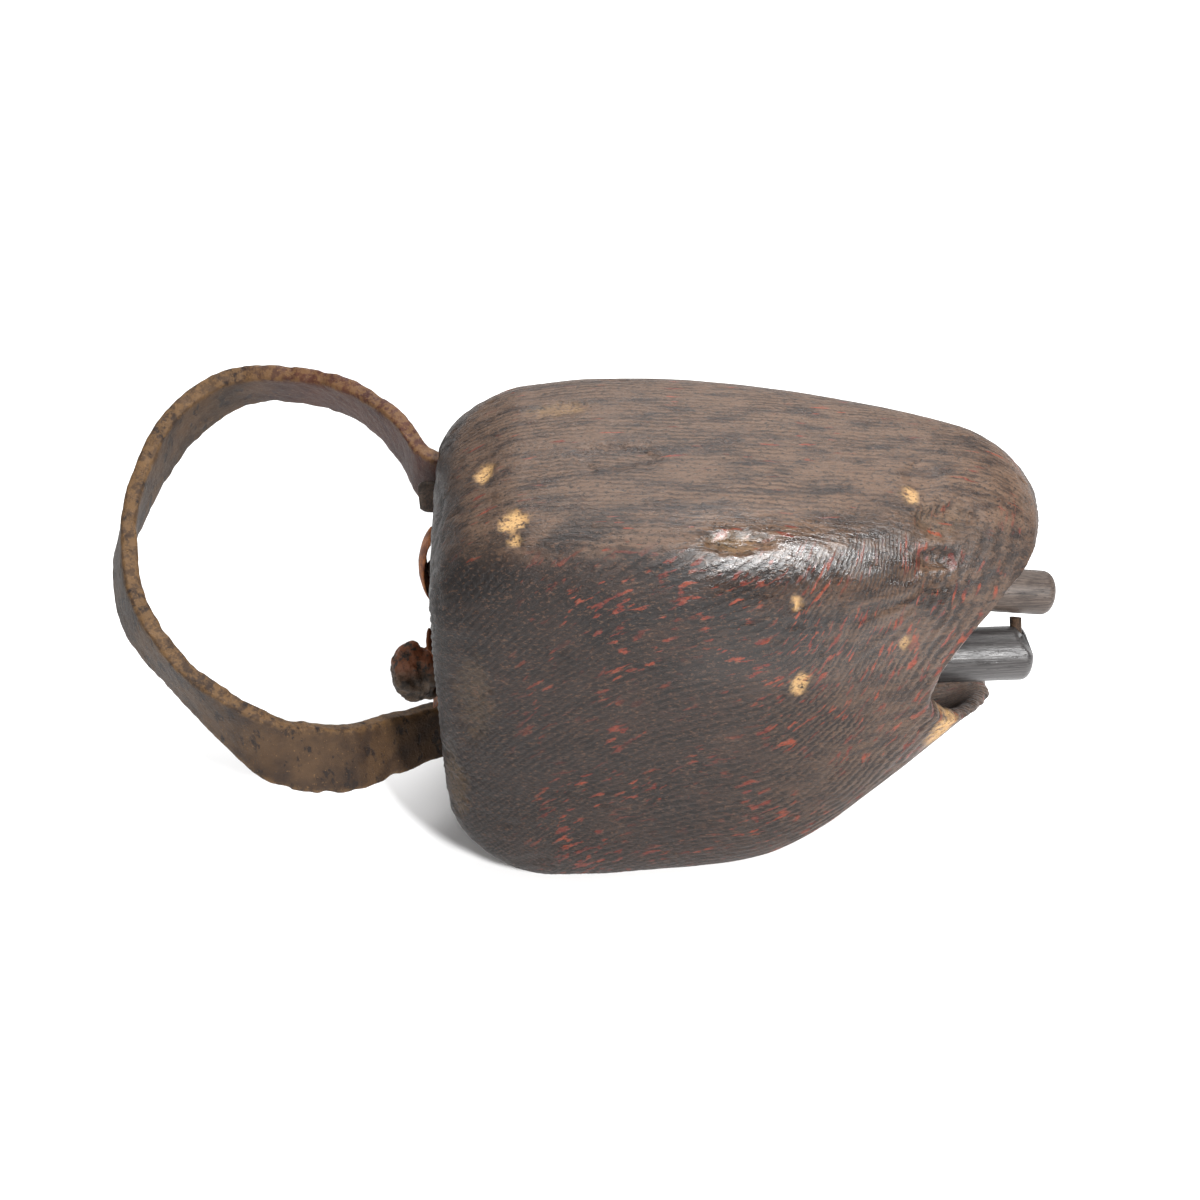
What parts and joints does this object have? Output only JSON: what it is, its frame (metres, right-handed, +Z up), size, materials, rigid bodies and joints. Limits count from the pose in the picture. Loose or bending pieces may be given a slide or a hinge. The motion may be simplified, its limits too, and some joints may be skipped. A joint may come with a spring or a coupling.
{
  "type": "wooden animal bell",
  "caption": "Carved wooden livestock bell lying on one narrow side, with a stiff leather carrying strap, rawhide thongs and hardwood rod clappers standing out of its arched mouth.",
  "frame": {"origin": "under the middle of the whole object's bounding box, at the height of the surface it lies on", "axes": "+X along the bell from the crown and strap to the mouth, +Y across the bell's thickness, +Z up, away from the narrow side it lies on"},
  "size_m": [0.3204, 0.1346, 0.163],
  "materials": {
    "carved_wood": "weathered, hand-carved, worn sheen",
    "strap_leather": "old thick harness leather, worn edges",
    "pin_wood": "whittled, unfinished",
    "clapper_dark_wood": "dense wood polished by handling",
    "clapper_brown_wood": "dense wood, smooth",
    "rawhide": "dried rawhide, lumpy",
    "dry_hide": "translucent dried hide"
  },
  "bodies": {
    "bell": {"bell_body": "carved_wood", "strap": "strap_leather", "strap_toggle_upper": "pin_wood", "strap_toggle_lower": "pin_wood", "strap_wedge": "pin_wood", "thong_knot_large": "rawhide", "thong_knot_small": "rawhide", "hide_flap_large": "dry_hide", "hide_flap_small": "dry_hide"},
    "large_thong": {"thong_loop_large": "rawhide"},
    "small_thong": {"thong_loop_small": "rawhide"},
    "large_clapper": {"clapper_large": "clapper_dark_wood", "clapper_peg": "pin_wood"},
    "small_clapper": {"clapper_small": "clapper_brown_wood"}
  },
  "joints": [
    {"name": "large_sway", "type": "hinge", "parent": "bell", "child": "large_thong", "pos_m": [-0.02341, -0.02437, 0.076], "axis": [0, -1, 0], "range_deg": [-0.6, 7]},
    {"name": "small_sway", "type": "hinge", "parent": "bell", "child": "small_thong", "pos_m": [-0.02341, -0.00837, 0.109], "axis": [0, -1, 0], "range_deg": [-0.6, 7]},
    {"name": "large_strike", "type": "hinge", "parent": "large_thong", "child": "large_clapper", "pos_m": [0.00109, -0.02437, 0.076], "axis": [0, 0, 1], "range_deg": [-2.5, 6]},
    {"name": "small_strike", "type": "hinge", "parent": "small_thong", "child": "small_clapper", "pos_m": [0.00109, -0.00837, 0.109], "axis": [0, 0, 1], "range_deg": [-2.5, 6]}
  ],
  "couplings": [
    {"joint": "small_sway", "follows": "large_sway", "ratio": 1},
    {"joint": "small_strike", "follows": "large_strike", "ratio": 1}
  ]
}
